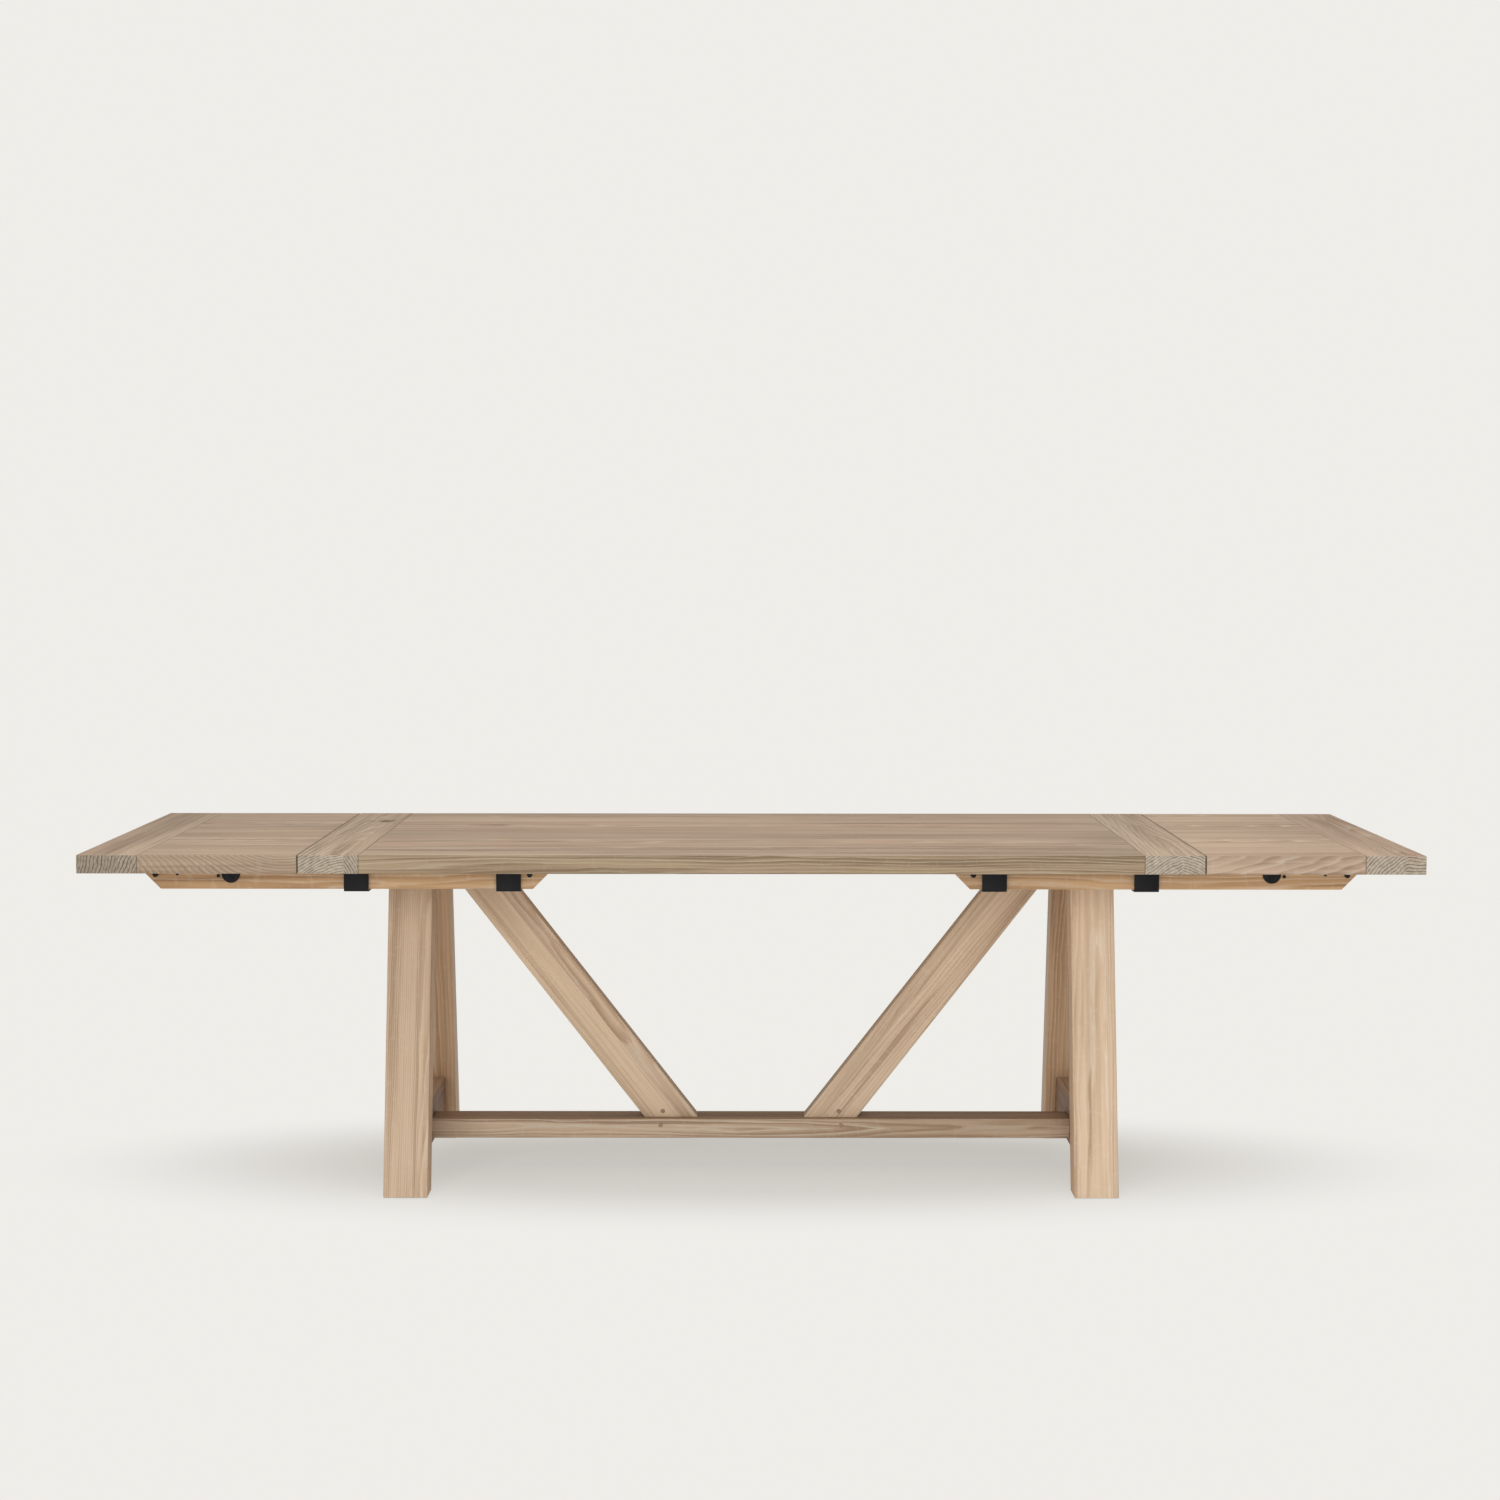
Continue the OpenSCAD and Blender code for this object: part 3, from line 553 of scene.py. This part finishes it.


# the board's seams with its neighbours, on its own axes, where painted shade darkens it
def seamsOf(partName, grain):
    low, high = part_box(partName)
    middle = (low + high) / 2
    turn = Vector(grain).rotation_difference(xAxis).to_matrix()
    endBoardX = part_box("left_main_end_board")[1].x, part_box("right_main_end_board")[0].x
    if grain == xAxis:
        found = [("Y", side * (high.y - low.y) / 2, seamShade["along"]) for side in (-1, 1)]
        bounds = {"main": endBoardX, "left": (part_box("left_leaf_end_board")[1].x, high.x),
                  "right": (low.x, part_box("right_leaf_end_board")[0].x)}[partName.split("_")[0]]
        return found + [("X", x - middle.x, seamShade["end"]) for x in bounds]
    ends = (low.x, high.x) if "main" in partName else (low.x if "right" in partName else high.x,)
    return [("Y", (turn @ Vector((x - middle.x, 0, 0))).y, seamShade["endBoard"]) for x in ends]


def makeTopBoard(partName, body, grain, seed, cut):
    piece = copyPart(partName, camelName(partName), wholeBelow=False)
    easeEdges(piece, easing["outer"], easing["segments"], onOuterEdge, shortest["boardEdge"])
    easeEdges(piece, easing["crossSeam"], 1, onCrossSeam, shortest["boardEdge"])
    easeEdges(piece, easing["seam"], 1, onFaceSeam, shortest["seam"])
    material = makeOak(piece.name, "top", centreOf(partName), grain=grain, seed=seed,
                       seams=seamsOf(partName, grain), **cut)
    finishPiece(piece, body, [partName], material)


leafSeed = 7
endBoardSeed = 20
for number, cut in enumerate(mainBoards, 1):
    makeTopBoard(f"main_board_{number}", "table", xAxis, number, cut)
for side in sides:
    for number, cut in enumerate(leafBoards[side], 1):
        seed = leafSeed + number * signOf(side)
        makeTopBoard(f"{side}_leaf_board_{number}", f"{side}_leaf", xAxis, seed, cut)
for number, (partName, cut) in enumerate(endBoards.items()):
    body = f"{partName.split('_')[0]}_leaf" if "leaf" in partName else "table"
    makeTopBoard(partName, body, yAxis, endBoardSeed + number, cut)
print("top and leaves ready")


def makeTimber(partName, body, tone, grain, seed, **cut):
    piece = copyPart(partName, camelName(partName))
    easeEdges(piece, easing[tone], easing["segments"], minLength=shortest["timber"])
    material = makeOak(piece.name, tone, centreOf(partName), grain=grain, seed=seed, **cut)
    finishPiece(piece, body, [partName], material)


# lean of the legs, from a leg's own box, and of the braces
legDepth = 0.076
braceAngle = math.radians(37.9)
legLow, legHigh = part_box("rear_right_leg")
legLean = (legHigh.y - legLow.y - legDepth) / (legHigh.z - legLow.z)
braceLean = math.tan(braceAngle)

# place in the log, slope in it, tone and glued strips of each timber
legCuts = {
    "front_left": {
        "pith": (0.09, -0.02), "tilt": (0.01, 0.015), "shade": 0.98,
        "strips": {"axis": "Z", "shift": (0.11, 0.07),
                   "cuts": [(-0.018, (0.93, 0.92, 0.91, 1)), (0.026, (1.08, 1.09, 1.09, 1))]}},
    "front_right": {
        "pith": (-0.08, 0.05), "tilt": (-0.012, 0.01), "shade": 1.08,
        "strips": {"axis": "Z", "shift": (-0.12, 0.06),
                   "cuts": [(-0.022, (1.05, 1.06, 1.06, 1)), (0.014, (0.95, 0.94, 0.93, 1))]}},
    "rear_left": {
        "pith": (0.06, 0.05), "tilt": (0.01, -0.01), "shade": 0.97,
        "strips": {"axis": "Z", "shift": (0.10, -0.06), "cuts": [(0.010, (0.95, 0.94, 0.93, 1))]}},
    "rear_right": {
        "pith": (-0.10, -0.02), "tilt": (0.012, 0.01), "shade": 0.99,
        "strips": {"axis": "Z", "shift": (0.09, 0.08), "cuts": [(-0.012, (0.96, 0.95, 0.94, 1))]}},
}
# painted shade on the legs: the front legs' side faces and the rear legs' front and back faces are
# darkened
shadedFaces = {"front": (xAxis, (0.86, 0.77, 0.68, 1)), "rear": (yAxis, (0.88, 0.79, 0.69, 1))}
braceCuts = {
    "left": {
        "pith": (0.05, -0.04), "tilt": (0.01, 0.012), "shade": 0.97,
        "strips": {"axis": "Z", "shift": (0.10, 0.05), "cuts": [(-0.018, (1.06, 1.07, 1.05, 1))]}},
    "right": {
        "pith": (0.05, 0.04), "tilt": (0.01, 0.012), "shade": 1.0,
        "strips": {"axis": "Z", "shift": (-0.11, 0.04), "cuts": [(0.020, (0.93, 0.93, 0.92, 1))]}},
}
bearerCut = {"pith": (0.04, -0.06), "shade": 0.9}
railCut = {"pith": (0.07, -0.05), "tilt": (0.01, 0.01), "shade": 0.85}
# painted shade on the inner face of each low rail, which looks towards the middle of the table
railInsideShade = (0.50, 0.37, 0.28, 1)
battenCut = {"pith": (0.05, -0.04)}
# the stretcher's upper face is darkened with painted shade, as under the table top
stretcherCut = {"pith": (-0.062, 0.004), "tilt": (0.012, 0.004), "rings": 1.3, "shade": 0.80,
                "contrast": 1.5, "faceTint": (zAxis, (0.80, 0.74, 0.70, 1))}
runnerTilt = (0.006, 0.016)
pegCut = {"pith": (0.2, 0.05)}
timberSeeds = {"leg": 30, "brace": 40, "bearer": 44, "rail": 48, "batten": 52, "stretcher": 56,
               "runner": 60, "pegs": 70}

for number, corner in enumerate(corners):
    leanWay = Vector((0, -depthSignOf(corner) * legLean, 1))
    makeTimber(f"{corner}_leg", "table", "trestle", leanWay, timberSeeds["leg"] + number,
               faceTint=shadedFaces[corner.split("_")[0]], **legCuts[corner])
for number, side in enumerate(sides):
    braceWay = Vector((signOf(side) * braceLean, 0, 1))
    makeTimber(f"{side}_brace", "table", "trestle", braceWay, timberSeeds["brace"] + number,
               **braceCuts[side])
    makeTimber(f"{side}_bearer", "table", "trestle", yAxis, timberSeeds["bearer"] + number, **bearerCut)
    makeTimber(f"{side}_low_rail", "table", "trestle", yAxis, timberSeeds["rail"] + number,
               faceTint=(xAxis * -signOf(side), railInsideShade, True), **railCut)
    makeTimber(f"{side}_leaf_batten", f"{side}_leaf", "runner", yAxis, timberSeeds["batten"] + number,
               **battenCut)
makeTimber("stretcher", "table", "trestle", xAxis, timberSeeds["stretcher"], **stretcherCut)
for number, corner in enumerate(corners):
    makeTimber(f"{corner}_runner", f"{corner}_slide", "runner", xAxis, timberSeeds["runner"] + number,
               pith=(0.08, -0.03 - 0.01 * number), tilt=runnerTilt)
makeTimber("oak_pegs", "table", "peg", yAxis, timberSeeds["pegs"], **pegCut)
print("trestle and runners ready")


# the same for metal: width, then the shortest edge
metalEase = {"straps": (0.0005, 0.004), "catch": (0.0005, 0.0), "runner_fittings": (0.0007, 0.0),
             "screws": (0.0006, 0.0)}


def makeMetal(partName, body, ease, material):
    piece = copyPart(partName, camelName(partName))
    width, shortest = ease
    easeEdges(piece, width, 2, minLength=shortest)
    finishPiece(piece, body, [partName], material, smoothAngle=40)


for corner in corners:
    makeMetal(f"{corner}_straps", "table", metalEase["straps"], blackCoat)
    makeMetal(f"{corner}_catch", f"{corner}_turn_catch", metalEase["catch"], blackCoat)
    makeMetal(f"{corner}_runner_fittings", f"{corner}_slide", metalEase["runner_fittings"], blackCoat)
for partName in ("strap_screws", "stretcher_bolts"):
    makeMetal(partName, "table", metalEase["screws"], blackCoat)

plainParts = {
    "barrel_nuts": zincPlate, "brace_screws": zincPlate, "top_screws": zincPlate,
    "left_leaf_screws": zincPlate, "right_leaf_screws": zincPlate,
    "foot_glides": slickPlastic, "strap_glides": slickPlastic,
}
for partName, material in plainParts.items():
    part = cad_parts[partName]
    part.data.materials.clear()
    part.data.materials.append(material)
print("metal fittings ready")


stageLook = {"tone": (0.860, 0.847, 0.812, 1), "floorColor": (0.80, 0.828, 0.855, 1), "size": 60.0,
             "stretch": (0.45, 1.15, 1.0), "fadeFrom": 0.28, "fadeTo": 0.80, "liftedShadow": 0.49,
             "fillStrength": 0.36}


def makeFloor():
    bpy.ops.object.select_all(action="DESELECT")
    bpy.ops.mesh.primitive_plane_add(size=stageLook["size"], location=(0, 0, 0))
    floor = bpy.context.active_object
    floor.name = "studioFloor"
    material = bpy.data.materials.new("studio floor")
    material.use_nodes = True
    tree = material.node_tree
    tree.nodes.remove(tree.nodes["Principled BSDF"])
    matte = addNode(tree, "ShaderNodeBsdfDiffuse")
    matte.inputs["Color"].default_value = stageLook["floorColor"]
    glow = addNode(tree, "ShaderNodeEmission")
    glow.inputs["Color"].default_value = stageLook["tone"]
    coords = addNode(tree, "ShaderNodeTexCoord").outputs["Object"]
    away = addNode(tree, "ShaderNodeVectorMath", operation="LENGTH")
    tree.links.new(vectorCalc(tree, "MULTIPLY", coords, stageLook["stretch"]), away.inputs[0])
    fade = rangeOf(tree, away.outputs["Value"], stageLook["fadeFrom"], stageLook["fadeTo"],
                   stageLook["liftedShadow"], 1.0)
    blend = addNode(tree, "ShaderNodeMixShader")
    tree.links.new(fade, blend.inputs[0])
    tree.links.new(matte.outputs[0], blend.inputs[1])
    tree.links.new(glow.outputs[0], blend.inputs[2])
    # nothing of it shows from below
    side = addNode(tree, "ShaderNodeNewGeometry")
    clear = addNode(tree, "ShaderNodeBsdfTransparent")
    oneSided = addNode(tree, "ShaderNodeMixShader")
    tree.links.new(side.outputs["Backfacing"], oneSided.inputs[0])
    tree.links.new(blend.outputs[0], oneSided.inputs[1])
    tree.links.new(clear.outputs[0], oneSided.inputs[2])
    tree.links.new(oneSided.outputs[0], tree.nodes["Material Output"].inputs["Surface"])
    floor.data.materials.append(material)


# the room shows as one pale tone, and lights the table more weakly than it looks
def makeWorld():
    world = bpy.data.worlds.new("studio")
    bpy.context.scene.world = world
    world.use_nodes = True
    tree = world.node_tree
    shown = tree.nodes["Background"]
    shown.inputs["Color"].default_value = stageLook["tone"]
    fill = addNode(tree, "ShaderNodeBackground")
    fill.inputs["Color"].default_value = stageLook["tone"]
    fill.inputs["Strength"].default_value = stageLook["fillStrength"]
    rays = addNode(tree, "ShaderNodeLightPath")
    either = addNode(tree, "ShaderNodeMixShader")
    tree.links.new(rays.outputs["Is Camera Ray"], either.inputs[0])
    tree.links.new(fill.outputs[0], either.inputs[1])
    tree.links.new(shown.outputs[0], either.inputs[2])
    tree.links.new(either.outputs[0], tree.nodes["World Output"].inputs["Surface"])


# soft boxes: where each stands, where it aims, its size and its power in watts
softBoxes = [
    {"name": "frontBox", "at": (-1.2, -9.0, 2.6), "aim": (0, 0, 0.6), "size": 6.0, "watts": 400},
    {"name": "overhead", "at": (0.2, -0.9, 5.0), "aim": (0, 0, 0.7), "size": 5.0, "watts": 130},
]

lampColor = (1.0, 0.985, 0.96)


def makeLights():
    for box in softBoxes:
        lamp = bpy.data.lights.new(box["name"], "AREA")
        lamp.shape = "SQUARE"
        lamp.size = box["size"]
        lamp.energy = box["watts"]
        lamp.color = lampColor
        holder = bpy.data.objects.new(box["name"], lamp)
        bpy.context.scene.collection.objects.link(holder)
        aim = Vector(box["aim"]) - Vector(box["at"])
        turn = aim.to_track_quat("-Z", "Y").to_matrix().to_4x4()
        holder.matrix_world = Matrix.Translation(box["at"]) @ turn


# distances are from the table: how far in front of its edge, how high over the floor
viewFrom = {"side": -0.018, "inFront": 5.8445, "height": 1.416, "down": 4.0, "turn": -0.0024,
            "roll": 0.0012, "lens": 65.69, "sensor": 36, "farEnd": 200}


def makeCamera():
    lens = bpy.data.cameras.new("camera")
    lens.type = "PERSP"
    lens.sensor_width = viewFrom["sensor"]
    lens.lens = viewFrom["lens"]
    lens.clip_end = viewFrom["farEnd"]
    camera = bpy.data.objects.new("camera", lens)
    bpy.context.scene.collection.objects.link(camera)
    spot = Vector((viewFrom["side"], frontY - viewFrom["inFront"], viewFrom["height"]))
    tilt = math.radians(90 - viewFrom["down"])
    camera.matrix_world = (Matrix.Translation(spot) @ Matrix.Rotation(viewFrom["turn"], 4, "Z")
                           @ Matrix.Rotation(tilt, 4, "X") @ Matrix.Rotation(viewFrom["roll"], 4, "Z"))
    bpy.context.scene.camera = camera


makeFloor()
makeWorld()
makeLights()
makeCamera()
bpy.context.scene.view_settings.view_transform = "Standard"
print("stage ready")
